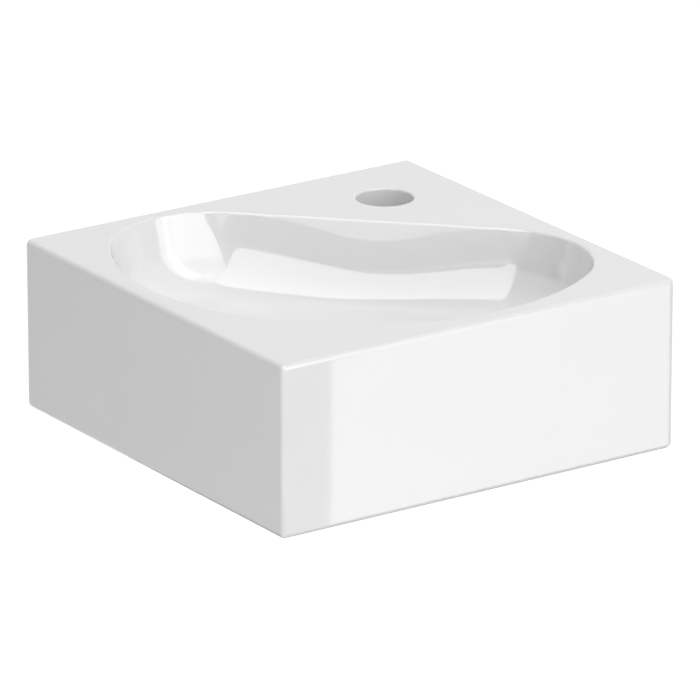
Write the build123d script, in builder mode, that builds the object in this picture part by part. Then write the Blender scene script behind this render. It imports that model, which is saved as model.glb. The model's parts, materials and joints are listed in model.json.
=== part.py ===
from build123d import *
import os
from math import hypot, isclose, sqrt

# Wall-hung corner hand basin: ceramic body, push-open waste and wall fixings.
# Millimetres, +Z up. The origin is the room corner at the height of the rim.
# The rear wall is the plane y = 0, and the side wall is the plane x = 0.

# Ceramic body
basin_side = 280.0
basin_height = 106.0
edge_round = 3.0
deck_thickness = 14.0
skirt_thickness = 10.0
skirt_corner = 12.0
skirt_lip_round = 2.0

# Bowl, seen from above: a circle cut straight along the tap ledge, with rounded corners
bowl_radius = 147.0
rim_margin = 12.4
ledge_depth = 124.0
bowl_corner = 62.0
bowl_wall = 9.0
bowl_wall_tilt = 11.0
bowl_lip_round = 3.0

# Bowl, in section: a shallow dish that falls to the waste
bowl_depth = 51.0
dish_radius = 1200.0
foot_round = 25.0
floor_thickness = 11.0
bowl_underside_round = 26.0

# Tap hole, on the diagonal of the ledge
tap_hole_radius = 17.5
tap_hole_from_corner = 78.0
tap_hole_round = 1.0

# Waste hole and its seats
drain_from_middle = 25.0
drain_hole_radius = 23.0
flange_recess = 2.5
flange_recess_play = 2.0
drain_boss_margin = 6.0
drain_boss_thickness = 13.0

# Waste body
flange_radius = 31.5
flange_thickness = 2.0
flange_edge_round = 0.8
cone_top_radius = 24.5
cone_depth = 6.5
tail_radius = 20.95
tail_bore_radius = 17.5
tail_length = 73.0
tail_end_chamfer = 1.0
tail_groove_width = 2.0
tail_groove_depth = 0.6
hub_radius = 11.0
hub_height = 10.0
spider_arm_width = 4.0
spider_arm_count = 3

# Seals, washer and nut on the waste
flange_seal_thickness = 1.5
gasket_thickness = 4.0
gasket_radius = 30.0
gasket_spigot_height = 3.0
gasket_spigot_play = 0.2
slip_washer_thickness = 1.5
back_nut_thickness = 9.0
back_nut_across_flats = 55.0
back_nut_corner_round = 1.5

# Plug
plug_travel = 8.0
cap_radius = 20.0
cap_edge_thickness = 2.6
cap_crown = 1.6
cap_edge_round = 0.8
cap_boss_radius = 6.0
cap_boss_height = 4.8
seal_section_radius = 1.5
seal_inset = 2.4
seal_groove_play = 0.1
seal_bite = 0.92
stem_radius = 3.0
stem_engagement = 5.8
stem_locknut_across_flats = 10.0
stem_locknut_thickness = 3.0

# Push-push latch
press_gap = 2.0
barrel_radius = 6.5
barrel_flange_radius = 9.0
barrel_flange_thickness = 3.0
chamber_radius = 5.2
collar_radius = 4.9
collar_thickness = 3.5
spigot_radius = 2.0
spigot_length = 7.2
index_ring_radius = 3.6
index_ring_thickness = 3.0
index_rib_radius = 4.7
index_rib_width = 1.0
index_rib_count = 8
spring_length = 21.6
spring_coil_radius = 3.6
spring_wire_radius = 0.4
spring_turns = 8
end_plug_grip = 4.0
end_plug_head = 2.0
end_plug_vent_radius = 1.2

# Wall fixings, one on each wall
fixing_from_corner = 105.0
fixing_drop = 60.0
fixing_hole_radius = 7.0
bolt_radius = 4.0
bolt_inner_length = 28.0
bolt_outer_length = 58.0
bolt_core_radius = 3.2
bolt_point_length = 5.0
wall_plug_radius = 5.0
wall_plug_length = 62.0
wall_plug_setback = 1.0
wall_plug_slot_width = 1.2
wall_plug_slot_start = 35.0
wall_plug_tip_length = 7.0
bush_flange_radius = 13.0
bush_flange_thickness = 3.0
bush_shank_length = 8.0
fixing_washer_radius = 11.0
fixing_washer_thickness = 1.6
fixing_nut_across_flats = 13.0
fixing_nut_thickness = 6.5

# Clearances
running_clearance = 0.05
thread_clearance = 0.05
bush_clearance = 0.2
washer_clearance = 0.2
stop_clearance = 0.3
seal_clearance = 0.15
spring_clearance = 0.2
ring_clearance = 0.1
cut_margin = 1.0

# Places along the diagonal, measured from the middle of the basin towards the room corner
half_diagonal = basin_side / sqrt(2)
bowl_centre = sqrt(2) * (bowl_radius + rim_margin - basin_side / 2)
ledge_edge = half_diagonal - ledge_depth
tap_hole_place = half_diagonal - tap_hole_from_corner
drain_place = -drain_from_middle

# Heights of the waste, from the bowl downwards
seat_height = -bowl_depth - flange_recess
flange_underside = seat_height + flange_seal_thickness
flange_top = flange_underside + flange_thickness
boss_underside = seat_height - drain_boss_thickness
gasket_underside = boss_underside - gasket_thickness
slip_washer_underside = gasket_underside - slip_washer_thickness
back_nut_underside = slip_washer_underside - back_nut_thickness
tail_end = flange_underside - tail_length
tail_groove_top = back_nut_underside - tail_groove_width / 2

# Heights of the plug, at rest with the waste open
seal_radius = cap_radius - seal_inset
cone_run = cone_top_radius - tail_bore_radius
cone_slant = hypot(cone_run, cone_depth)
seal_stand_off = (seal_section_radius + seal_clearance) * cone_slant / cone_run
seal_rise = (seal_radius - tail_bore_radius) * cone_depth / cone_run
seal_height = flange_top - cone_depth + seal_rise + seal_stand_off + plug_travel
cap_underside = seal_height + seal_section_radius - seal_bite
cap_edge_top = cap_underside + cap_edge_thickness
cap_boss_end = cap_underside - cap_boss_height
stem_top = cap_boss_end + stem_engagement
stem_locknut_end = cap_boss_end - stem_locknut_thickness

# Heights of the latch
barrel_top = stem_locknut_end - plug_travel - press_gap
hub_top = barrel_top - barrel_flange_thickness
collar_top = hub_top - stop_clearance
collar_end = collar_top - collar_thickness
index_ring_top = collar_end - ring_clearance
index_ring_end = index_ring_top - index_ring_thickness
spring_top = index_ring_end - spring_clearance
spring_end = spring_top - spring_length
end_plug_top = spring_end - spring_clearance
barrel_end = end_plug_top - end_plug_grip

# Places along a wall fixing, measured outwards from the wall
bush_flange_inner = -skirt_thickness - bush_flange_thickness
washer_inner = bush_flange_inner - fixing_washer_thickness
nut_inner = washer_inner - fixing_nut_thickness


def diagonal_plane(height):
    """Level plane over the middle of the basin, with its y axis pointing at the room corner."""
    middle = (basin_side / 2, -basin_side / 2, height)
    return Plane(origin=middle, x_dir=(1, 1, 0), z_dir=(0, 0, 1))


drain_point = diagonal_plane(0).from_local_coords(Vector(0, drain_place, 0))
drain_axis = Axis(drain_point, (0, 0, 1))
drain_section = Plane(origin=drain_point, x_dir=(1, 0, 0), z_dir=(0, -1, 0))


def drain_plane(height):
    """Level plane centred on the waste."""
    return Plane(origin=drain_point + Vector(0, 0, height), z_dir=(0, 0, 1))


# Each wall's fixing has a plane on the wall that looks outwards, into the wall
rear_fixing = Plane(origin=(fixing_from_corner, 0, -fixing_drop), x_dir=(1, 0, 0), z_dir=(0, 1, 0))
side_fixing = Plane(origin=(0, -fixing_from_corner, -fixing_drop), x_dir=(0, 1, 0), z_dir=(-1, 0, 0))
fixing_planes = [rear_fixing, side_fixing]


def fixing_section(wall):
    """Plane through a fixing, with its y axis pointing into the wall."""
    return Plane(origin=wall.origin, x_dir=wall.x_dir, z_dir=-wall.y_dir)


def hexagon_radius(across_flats):
    """Radius to the corners of a hexagon."""
    return across_flats / sqrt(3)


def draw_bowl_outline():
    """Outline of the bowl at the rim, drawn into the open sketch."""
    with Locations((0, bowl_centre)):
        Circle(bowl_radius)
    with Locations((0, ledge_edge)):
        Rectangle(4 * bowl_radius, 2 * bowl_radius, align=(Align.CENTER, Align.MIN), mode=Mode.SUBTRACT)


def write_piece(piece, name):
    """Label a finished piece and write it to its own file."""
    piece.part.label = name
    export_step(piece.part, f"parts/{name}.step")


os.makedirs("parts", exist_ok=True)

# Hollow of the bowl
with BuildPart() as bowl_hollow:
    with BuildSketch(diagonal_plane(0)) as hollow_outline:
        draw_bowl_outline()
        fillet(hollow_outline.vertices(), bowl_corner)
    extrude(amount=-2 * bowl_depth, taper=bowl_wall_tilt)
    with Locations(drain_plane(dish_radius - bowl_depth)):
        Sphere(dish_radius, mode=Mode.INTERSECT)
    dish = bowl_hollow.faces().sort_by(Axis.Z)[0]
    fillet(dish.edges(), foot_round)

# Outside of the bowl, below the deck
with BuildPart() as bowl_shell:
    with BuildSketch(diagonal_plane(0)) as shell_outline:
        draw_bowl_outline()
        fillet(shell_outline.vertices(), bowl_corner)
        offset(amount=bowl_wall)
    extrude(amount=-2 * bowl_depth)
    with Locations(drain_plane(dish_radius - bowl_depth)):
        Sphere(dish_radius + floor_thickness, mode=Mode.INTERSECT)
    shell_floor = bowl_shell.faces().sort_by(Axis.Z)[0]
    fillet(shell_floor.edges(), bowl_underside_round)

# Ceramic body
with BuildPart() as basin_body:
    with BuildSketch(diagonal_plane(-basin_height)):
        Rectangle(basin_side, basin_side, rotation=45)
    extrude(amount=basin_height)
    fillet(basin_body.edges(), edge_round)
    # Space under the basin, open below, inside the skirt
    with BuildSketch(diagonal_plane(-basin_height)) as skirt_inside:
        Rectangle(basin_side - 2 * skirt_thickness, basin_side - 2 * skirt_thickness, rotation=45)
        fillet(skirt_inside.vertices(), skirt_corner)
    extrude(amount=basin_height - deck_thickness, mode=Mode.SUBTRACT)
    fillet(basin_body.faces().sort_by(Axis.Z)[0].inner_wires().edges(), skirt_lip_round)
    add(bowl_shell.part)
    # Boss that the gasket closes on
    with BuildSketch(drain_plane(boss_underside)):
        Circle(gasket_radius + drain_boss_margin)
    extrude(amount=drain_boss_thickness)
    add(bowl_hollow.part, mode=Mode.SUBTRACT)
    fillet(basin_body.faces().sort_by(Axis.Z)[-1].inner_wires().edges(), bowl_lip_round)
    # Recess and hole for the waste
    with BuildSketch(drain_plane(seat_height)):
        Circle(flange_radius + flange_recess_play)
    extrude(amount=bowl_depth, mode=Mode.SUBTRACT)
    with BuildSketch(drain_plane(seat_height)):
        Circle(drain_hole_radius)
    extrude(amount=-drain_boss_thickness - cut_margin, mode=Mode.SUBTRACT)
    # Tap hole
    with BuildSketch(diagonal_plane(0)):
        with Locations((0, tap_hole_place)):
            Circle(tap_hole_radius)
    extrude(amount=-deck_thickness - cut_margin, mode=Mode.SUBTRACT)
    tap_hole_edges = basin_body.edges(Select.LAST).filter_by(GeomType.CIRCLE)
    fillet(tap_hole_edges.sort_by(Axis.Z)[-1], tap_hole_round)
    # Hole for each wall fixing
    for wall in fixing_planes:
        with BuildSketch(wall):
            Circle(fixing_hole_radius)
        extrude(amount=-skirt_thickness - cut_margin, mode=Mode.SUBTRACT)
write_piece(basin_body, "basin_body")

# Waste body: flange, cone seat and threaded tail, with a spider that holds the latch
with BuildPart() as waste_body:
    with BuildSketch(drain_section):
        Polygon(
            (flange_radius, flange_underside),
            (flange_radius, flange_top),
            (cone_top_radius, flange_top),
            (tail_bore_radius, flange_top - cone_depth),
            (tail_bore_radius, tail_end),
            (tail_radius - tail_end_chamfer, tail_end),
            (tail_radius, tail_end + tail_end_chamfer),
            (tail_radius, tail_groove_top - tail_groove_width),
            (tail_radius - tail_groove_depth, tail_groove_top - tail_groove_width),
            (tail_radius - tail_groove_depth, tail_groove_top),
            (tail_radius, tail_groove_top),
            (tail_radius, flange_underside),
            align=None,
        )
    revolve(axis=drain_axis)
    fillet(waste_body.faces().sort_by(Axis.Z)[-1].edges(), flange_edge_round)
    with BuildSketch(drain_plane(hub_top)):
        Circle(hub_radius)
        with PolarLocations(0, spider_arm_count):
            Rectangle((tail_bore_radius + tail_radius) / 2, spider_arm_width, align=(Align.MIN, Align.CENTER))
        Circle(barrel_radius + thread_clearance, mode=Mode.SUBTRACT)
    extrude(amount=-hub_height)
write_piece(waste_body, "waste_body")

# Rubber washer under the flange
with BuildPart() as flange_seal:
    with BuildSketch(drain_plane(seat_height)):
        Circle(flange_radius)
        Circle(drain_hole_radius, mode=Mode.SUBTRACT)
    extrude(amount=flange_seal_thickness)
write_piece(flange_seal, "flange_seal")

# Rubber gasket below the ceramic, with a spigot that centres the tail in the hole
with BuildPart() as lower_gasket:
    with BuildSketch(drain_plane(gasket_underside)):
        Circle(gasket_radius)
        Circle(tail_radius + washer_clearance, mode=Mode.SUBTRACT)
    extrude(amount=gasket_thickness)
    with BuildSketch(drain_plane(boss_underside)):
        Circle(drain_hole_radius - gasket_spigot_play)
        Circle(tail_radius + washer_clearance, mode=Mode.SUBTRACT)
    extrude(amount=gasket_spigot_height)
write_piece(lower_gasket, "lower_gasket")

# Plastic washer that lets the nut turn on the gasket
with BuildPart() as slip_washer:
    with BuildSketch(drain_plane(slip_washer_underside)):
        Circle(gasket_radius)
        Circle(tail_radius + washer_clearance, mode=Mode.SUBTRACT)
    extrude(amount=slip_washer_thickness)
write_piece(slip_washer, "slip_washer")

# Nut that clamps the waste to the ceramic
with BuildPart() as back_nut:
    with BuildSketch(drain_plane(back_nut_underside)) as back_nut_outline:
        RegularPolygon(hexagon_radius(back_nut_across_flats), 6)
        fillet(back_nut_outline.vertices(), back_nut_corner_round)
        Circle(tail_radius + thread_clearance, mode=Mode.SUBTRACT)
    extrude(amount=back_nut_thickness)
write_piece(back_nut, "back_nut")

# Push-open cap, with a groove for its seal and a boss for the stem
with BuildPart() as plug_cap:
    with BuildSketch(drain_plane(cap_underside)):
        Circle(cap_radius)
    extrude(amount=cap_edge_thickness)
    with BuildSketch(drain_section):
        with BuildLine():
            crown = ThreePointArc(
                (-cap_radius, cap_edge_top),
                (0, cap_edge_top + cap_crown),
                (cap_radius, cap_edge_top),
            )
            Line(crown @ 0, crown @ 1)
        make_face()
        with Locations((0, cap_edge_top)):
            Rectangle(cap_radius, 4 * cap_crown, align=(Align.MAX, Align.CENTER), mode=Mode.SUBTRACT)
    revolve(axis=drain_axis)
    with BuildSketch(drain_plane(cap_boss_end)):
        Circle(cap_boss_radius)
    extrude(amount=cap_boss_height)
    with BuildSketch(drain_plane(cap_boss_end)):
        Circle(stem_radius + thread_clearance)
    extrude(amount=stem_engagement, mode=Mode.SUBTRACT)
    with BuildSketch(drain_plane(cap_underside)):
        Circle(seal_radius + seal_section_radius + seal_groove_play)
        Circle(seal_radius - seal_section_radius - seal_groove_play, mode=Mode.SUBTRACT)
    extrude(amount=seal_bite + seal_groove_play, mode=Mode.SUBTRACT)
    round_edges = plug_cap.edges().filter_by(GeomType.CIRCLE)
    rim_edges = round_edges.filter_by(lambda edge: isclose(edge.radius, cap_radius))
    fillet(rim_edges.sort_by(Axis.Z)[-1], cap_edge_round)
write_piece(plug_cap, "plug_cap")

# Rubber ring that closes on the cone of the waste
with BuildPart() as plug_seal:
    with BuildSketch(drain_section):
        with Locations((seal_radius, seal_height)):
            Circle(seal_section_radius)
    revolve(axis=drain_axis)
write_piece(plug_seal, "plug_seal")

# Stem, with the collar that stops the plug at its upper end and the spigot that carries the ring
with BuildPart() as plug_stem:
    with BuildSketch(drain_section):
        Polygon(
            (0, stem_top),
            (stem_radius, stem_top),
            (stem_radius, collar_top),
            (collar_radius, collar_top),
            (collar_radius, collar_end),
            (spigot_radius, collar_end),
            (spigot_radius, collar_end - spigot_length),
            (0, collar_end - spigot_length),
            align=None,
        )
    revolve(axis=drain_axis)
write_piece(plug_stem, "plug_stem")

# Nut that locks the cap on the stem
with BuildPart() as stem_locknut:
    with BuildSketch(drain_plane(stem_locknut_end)):
        RegularPolygon(hexagon_radius(stem_locknut_across_flats), 6)
        Circle(stem_radius + thread_clearance, mode=Mode.SUBTRACT)
    extrude(amount=stem_locknut_thickness)
write_piece(stem_locknut, "stem_locknut")

# Barrel of the latch, screwed into the spider
with BuildPart() as latch_barrel:
    with BuildSketch(drain_section):
        Polygon(
            (stem_radius + running_clearance, barrel_top),
            (barrel_flange_radius, barrel_top),
            (barrel_flange_radius, hub_top),
            (barrel_radius, hub_top),
            (barrel_radius, barrel_end),
            (chamber_radius, barrel_end),
            (chamber_radius, hub_top),
            (stem_radius + running_clearance, hub_top),
            align=None,
        )
    revolve(axis=drain_axis)
write_piece(latch_barrel, "latch_barrel")

# Plug that closes the barrel and carries the spring
with BuildPart() as barrel_end_plug:
    with BuildSketch(drain_plane(barrel_end - end_plug_head)):
        Circle(barrel_radius)
    extrude(amount=end_plug_head)
    with BuildSketch(drain_plane(barrel_end)):
        Circle(chamber_radius - thread_clearance)
    extrude(amount=end_plug_grip)
    with BuildSketch(drain_plane(end_plug_top)):
        Circle(end_plug_vent_radius)
    extrude(amount=-end_plug_grip - end_plug_head, mode=Mode.SUBTRACT)
write_piece(barrel_end_plug, "barrel_end_plug")

# Compression spring under the ring
with BuildPart() as latch_spring:
    coil_height = spring_length - 2 * spring_wire_radius
    with BuildLine(drain_plane(spring_end + spring_wire_radius)) as coil:
        Helix(coil_height / spring_turns, coil_height, spring_coil_radius)
    with BuildSketch(Plane(origin=coil.line @ 0, z_dir=coil.line % 0)):
        Circle(spring_wire_radius)
    sweep()
write_piece(latch_spring, "latch_spring")

# Ribbed ring that turns as the cap is pressed
with BuildPart() as index_ring:
    with BuildSketch(drain_plane(index_ring_end)):
        Circle(index_ring_radius)
        with PolarLocations(0, index_rib_count):
            Rectangle(index_rib_radius, index_rib_width, align=(Align.MIN, Align.CENTER))
        Circle(spigot_radius + running_clearance, mode=Mode.SUBTRACT)
    extrude(amount=index_ring_thickness)
write_piece(index_ring, "index_ring")

# Hanger bolts: machine thread inside the basin, screw thread and point inside the wall
with BuildPart() as hanger_bolts:
    for wall in fixing_planes:
        with BuildSketch(fixing_section(wall)):
            Polygon(
                (0, -bolt_inner_length),
                (bolt_radius, -bolt_inner_length),
                (bolt_radius, wall_plug_setback),
                (bolt_core_radius, wall_plug_setback),
                (bolt_core_radius, bolt_outer_length - bolt_point_length),
                (0, bolt_outer_length),
                align=None,
            )
        revolve(axis=Axis(wall.origin, wall.z_dir))
write_piece(hanger_bolts, "hanger_bolts")

# Nylon plugs in the walls, slotted so that they spread
with BuildPart() as wall_plugs:
    for wall in fixing_planes:
        plug_mouth = wall.offset(wall_plug_setback)
        with BuildSketch(plug_mouth):
            Circle(wall_plug_radius)
            Circle(bolt_core_radius + thread_clearance, mode=Mode.SUBTRACT)
        extrude(amount=wall_plug_length)
        with BuildSketch(plug_mouth.offset(wall_plug_slot_start)):
            Rectangle(2 * wall_plug_radius + cut_margin, wall_plug_slot_width)
        extrude(amount=wall_plug_length - wall_plug_slot_start - wall_plug_tip_length, mode=Mode.SUBTRACT)
write_piece(wall_plugs, "wall_plugs")

# Nylon bushes that keep the bolts off the ceramic
with BuildPart() as collar_bushes:
    for wall in fixing_planes:
        with BuildSketch(wall.offset(bush_flange_inner)):
            Circle(bush_flange_radius)
            Circle(bolt_radius + bush_clearance, mode=Mode.SUBTRACT)
        extrude(amount=bush_flange_thickness)
        with BuildSketch(wall.offset(-skirt_thickness)):
            Circle(fixing_hole_radius - bush_clearance)
            Circle(bolt_radius + bush_clearance, mode=Mode.SUBTRACT)
        extrude(amount=bush_shank_length)
write_piece(collar_bushes, "collar_bushes")

# Steel washers on the bushes
with BuildPart() as fixing_washers:
    for wall in fixing_planes:
        with BuildSketch(wall.offset(washer_inner)):
            Circle(fixing_washer_radius)
            Circle(bolt_radius + washer_clearance, mode=Mode.SUBTRACT)
        extrude(amount=fixing_washer_thickness)
write_piece(fixing_washers, "fixing_washers")

# Steel nuts on the bolts
with BuildPart() as fixing_nuts:
    for wall in fixing_planes:
        with BuildSketch(wall.offset(nut_inner)):
            RegularPolygon(hexagon_radius(fixing_nut_across_flats), 6)
            Circle(bolt_radius + thread_clearance, mode=Mode.SUBTRACT)
        extrude(amount=fixing_nut_thickness)
write_piece(fixing_nuts, "fixing_nuts")
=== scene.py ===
import json
from math import asin, cos, pi, radians, sin, sqrt, tan

import bmesh
import bpy
import numpy as np
from mathutils import Matrix, Vector


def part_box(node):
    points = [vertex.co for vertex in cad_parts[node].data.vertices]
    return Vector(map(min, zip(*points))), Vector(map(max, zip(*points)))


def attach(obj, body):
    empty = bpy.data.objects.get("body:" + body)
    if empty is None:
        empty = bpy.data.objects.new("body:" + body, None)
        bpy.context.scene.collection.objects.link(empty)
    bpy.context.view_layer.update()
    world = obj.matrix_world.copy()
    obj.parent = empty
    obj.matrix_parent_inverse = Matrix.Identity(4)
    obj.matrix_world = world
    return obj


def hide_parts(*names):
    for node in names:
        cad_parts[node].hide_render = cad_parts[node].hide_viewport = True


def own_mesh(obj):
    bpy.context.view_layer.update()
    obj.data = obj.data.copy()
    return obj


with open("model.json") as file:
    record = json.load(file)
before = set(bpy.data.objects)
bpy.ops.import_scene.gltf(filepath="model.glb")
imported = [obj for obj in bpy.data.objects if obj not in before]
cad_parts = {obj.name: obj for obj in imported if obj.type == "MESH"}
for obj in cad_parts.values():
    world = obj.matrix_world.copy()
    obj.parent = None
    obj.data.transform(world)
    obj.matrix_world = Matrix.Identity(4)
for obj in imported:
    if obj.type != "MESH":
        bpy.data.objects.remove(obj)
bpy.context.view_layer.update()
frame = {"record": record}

# Wall-hung corner hand basin: a glazed body, a push-open waste and two wall fixings.
# Metres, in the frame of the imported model: the origin is the room corner at rim height.
MM = 0.001

# Places that the frame gives
body_low, body_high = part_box("basin_body")
side = body_high.x - body_low.x
rim_height = body_high.z
base_height = body_low.z
middle = (body_low + body_high) / 2
waste_low, waste_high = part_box("waste_body")
drain = Vector(((waste_low.x + waste_high.x) / 2, (waste_low.y + waste_high.y) / 2, 0))
mounts = {mount["name"]: mount for mount in frame["record"]["mounts"]}
tap_hole = Vector(mounts["tap_hole"]["pos_m"])
tap_hole_radius = mounts["tap_hole"]["dims"]["r_mm"] * MM

# Body
edge_round = 3.2 * MM
wall_end_round = 5.8 * MM
deck_thickness = 14.0 * MM
skirt_thickness = 10.0 * MM
skirt_corner = 12.0 * MM
skirt_lip_round = 2.0 * MM
tap_hole_round = 1.5 * MM
fixing_hole_radius = 7.0 * MM

# Bowl
bowl_radius = 147.0 * MM
rim_margin = 12.4 * MM
ledge_depth = 124.0 * MM
bowl_corner = 62.0 * MM
bowl_wall = 9.0 * MM
ledge_wall_tilt = radians(11.2)
ledge_end_tilt = radians(8.9)
front_wall_tilt = radians(15.0)
tilt_change_turn = radians(20.0)
lip_round = 1.8 * MM
bowl_depth = 51.0 * MM
dish_radius = 1200.0 * MM
foot_round = 25.0 * MM
end_foot_round = 34.0 * MM
end_foot_turn = radians(50.0)
plain_foot_turn = radians(110.0)
floor_thickness = 11.0 * MM
underside_round = 26.0 * MM
recess_radius = 33.5 * MM
drain_hole_radius = 23.0 * MM
boss_radius = 36.0 * MM


def heights(node):
    """Lower and upper height of a node at rest."""
    low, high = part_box(node)
    return low.z, high.z


# Heights on the waste, from its own pieces
tail_end, flange_top = heights("waste_body")
seat_height, flange_underside = heights("flange_seal")
gasket_underside, gasket_top = heights("lower_gasket")
gasket_thickness = 4.0 * MM
boss_underside = gasket_underside + gasket_thickness

# Places of the waste, the tap hole and the wall fixings. A wall fixing has its z axis into the wall.
Z_AXIS = Vector((0, 0, 1))


def place_on(point, axis):
    """Matrix that carries a piece made along +Z to a point and an axis."""
    return Matrix.Translation(point) @ axis.to_track_quat("Z", "Y").to_matrix().to_4x4()


def fixing_place(mount):
    """Place of a wall fixing: on the wall face, looking into the wall."""
    axis = Vector(mount["axis"])
    point = Vector(mount["pos_m"])
    return place_on(point - axis * point.dot(axis), axis)


on_drain = [place_on(drain, Z_AXIS)]
on_walls = [fixing_place(mounts["rear_wall_plug"]), fixing_place(mounts["side_wall_plug"])]
on_tap_hole = [place_on(Vector((tap_hole.x, tap_hole.y, 0)), Z_AXIS)]
at_origin = [Matrix.Identity(4)]


# Mesh tools

def linked(name, data):
    """Object with the given data, in the scene at the origin."""
    item = bpy.data.objects.new(name, data)
    bpy.context.scene.collection.objects.link(item)
    return item


def loft(rings, loop=False, caps=False):
    """Vertices and faces of a skin over rings of points. A ring of one point is a pole."""
    vertices = []
    indices = []
    for ring in rings:
        indices.append(range(len(vertices), len(vertices) + len(ring)))
        vertices.extend(tuple(point) for point in ring)
    around = max(len(ring) for ring in indices)
    pairs = list(zip(indices, indices[1:]))
    if loop:
        pairs.append((indices[-1], indices[0]))
    faces = []
    for lower, upper in pairs:
        for i in range(around):
            j = (i + 1) % around
            below = [lower[i % len(lower)], lower[j % len(lower)]]
            above = [upper[j % len(upper)], upper[i % len(upper)]]
            faces.append(tuple(dict.fromkeys(below + above)))
    if caps:
        faces.append(tuple(indices[0]))
        faces.append(tuple(indices[-1]))
    return vertices, faces


def mesh_object(name, skin, places):
    """Object with a skin at every place, its faces outwards and its own place in its mesh."""
    mesh = bpy.data.meshes.new(name)
    shape = bmesh.new()
    vertices, faces = skin
    for place in places:
        corners = [shape.verts.new(place @ Vector(vertex)) for vertex in vertices]
        for face in faces:
            shape.faces.new([corners[i] for i in face])
    bmesh.ops.recalc_face_normals(shape, faces=shape.faces)
    shape.to_mesh(mesh)
    shape.free()
    return linked(name, mesh)


STRAIGHT = radians(165)
SIDE_SHARE = 0.45


def soften(profile, radius, steps=3):
    """Profile with its corners off the axis rounded to the radius, or as far as their sides allow."""
    points = [Vector(point) for point in profile]
    softened = []
    for i, corner in enumerate(points):
        before = points[i - 1] - corner
        after = points[(i + 1) % len(points)] - corner
        if radius == 0 or corner.x == 0 or before.angle(after) > STRAIGHT:
            softened.append(corner)
            continue
        reach = min(radius, SIDE_SHARE * before.length, SIDE_SHARE * after.length)
        start = corner + before.normalized() * reach
        end = corner + after.normalized() * reach
        for step in range(steps + 1):
            t = step / steps
            softened.append((1 - t) ** 2 * start + 2 * t * (1 - t) * corner + t ** 2 * end)
    return [(point.x, point.y) for point in softened]


def polar_ring(radii, angles, height):
    """Ring of points round the z axis, at one height."""
    return [(radius * cos(angle), radius * sin(angle), height) for radius, angle in zip(radii, angles)]


def turned(name, profile, places, around=96, edge=0.3 * MM):
    """Turned piece: its softened profile of (radius, height) points, spun round the z axis of every place."""
    rings = []
    for radius, height in soften(profile, edge):
        angles = np.linspace(0, 2 * pi, around, endpoint=False) if radius > 0 else [0]
        rings.append(polar_ring([radius] * len(angles), angles, height))
    return mesh_object(name, loft(rings, loop=profile[0][0] > 0), places)


def rows(radius, start, end, spacing):
    """Profile points along a straight stretch, close enough to hold a thread."""
    count = round(abs(end - start) / spacing)
    return [(radius, height) for height in np.linspace(start, end, count + 1)]


NUT_FACE_SHARE = 0.96
NUT_CHAMFER = tan(radians(30))
COUNTERSINK_SHARE = 0.06


def hexagon_nut(name, across_flats, low, high, bore, places, around=96):
    """Hexagon nut with chamfered corners and a countersunk bore."""
    angles = np.linspace(0, 2 * pi, around, endpoint=False)
    flats = across_flats / 2 / np.cos(angles % (pi / 3) - pi / 6)
    face_radius = NUT_FACE_SHARE * across_flats / 2
    rise = (across_flats / sqrt(3) - face_radius) * NUT_CHAMFER
    sink = COUNTERSINK_SHARE * bore
    levels = [rise * step / 4 for step in range(5)]
    limits = [np.minimum(flats, face_radius + level / NUT_CHAMFER) for level in levels]
    lower = [polar_ring(limit, angles, low + level) for limit, level in zip(limits, levels)]
    upper = [polar_ring(limit, angles, high - level) for limit, level in zip(limits, levels)]
    mouths = ((bore + sink, high), (bore, high - sink), (bore, low + sink), (bore + sink, low))
    inner = [polar_ring([radius] * around, angles, height) for radius, height in mouths]
    return mesh_object(name, loft(lower + upper[::-1] + inner, loop=True), places)


def flat_ring(name, inner, outer, low, high, places, edge):
    """Flat ring with eased edges."""
    profile = [(inner, low), (outer, low), (outer, high), (inner, high)]
    return turned(name, profile, places, edge=edge)


def stepped_ring(name, bore, radii, levels, places, edge, around=96):
    """Ring with a wide part and a narrow part, from its foot by its step to its end."""
    wide, narrow = radii
    foot, step, end = levels
    profile = [(bore, foot), (wide, foot), (wide, step), (narrow, step), (narrow, end), (bore, end)]
    return turned(name, profile, places, around, edge)


def is_square(edge):
    """True for an edge between faces that stand square to each other."""
    return edge.calc_face_angle() > radians(60)


def block(size, centre, ease=0.0, wide_ease=0.0, is_wide=None):
    """Skin of a rectangular block, its edges rounded by an ease, and chosen edges by a wider one."""
    shape = bmesh.new()
    bmesh.ops.create_cube(shape, size=1.0)
    bmesh.ops.scale(shape, vec=size, verts=shape.verts)
    for radius, chosen in ((wide_ease, is_wide), (ease, is_square)):
        if radius > 0:
            edges = [edge for edge in shape.edges if chosen(edge)]
            bmesh.ops.bevel(shape, geom=edges, offset=radius, segments=6, profile=0.5, affect="EDGES")
    shape.verts.index_update()
    vertices = [vertex.co + centre for vertex in shape.verts]
    faces = [[vertex.index for vertex in face.verts] for face in shape.faces]
    shape.free()
    return vertices, faces


def evaluated(piece):
    """Plain mesh of an object as its modifiers leave it."""
    graph = bpy.context.evaluated_depsgraph_get()
    return bpy.data.meshes.new_from_object(piece.evaluated_get(graph))


def combined(name, base, steps):
    """Object made by joining other shapes to a base and cutting others out of it, in order."""
    for operation, other in steps:
        modifier = base.modifiers.new(operation, "BOOLEAN")
        modifier.operation = operation
        modifier.solver = "EXACT"
        modifier.object = other
    mesh = evaluated(base)
    mesh.name = name
    for used in [base] + [other for operation, other in steps]:
        bpy.data.objects.remove(used)
    return linked(name, mesh)


# Node tools

def linear(code):
    """Linear colour of an sRGB hex code."""
    channels = [int(code[i:i + 2], 16) / 255 for i in (1, 3, 5)]
    return tuple(c / 12.92 if c <= 0.04045 else ((c + 0.055) / 1.055) ** 2.4 for c in channels) + (1.0,)


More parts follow.
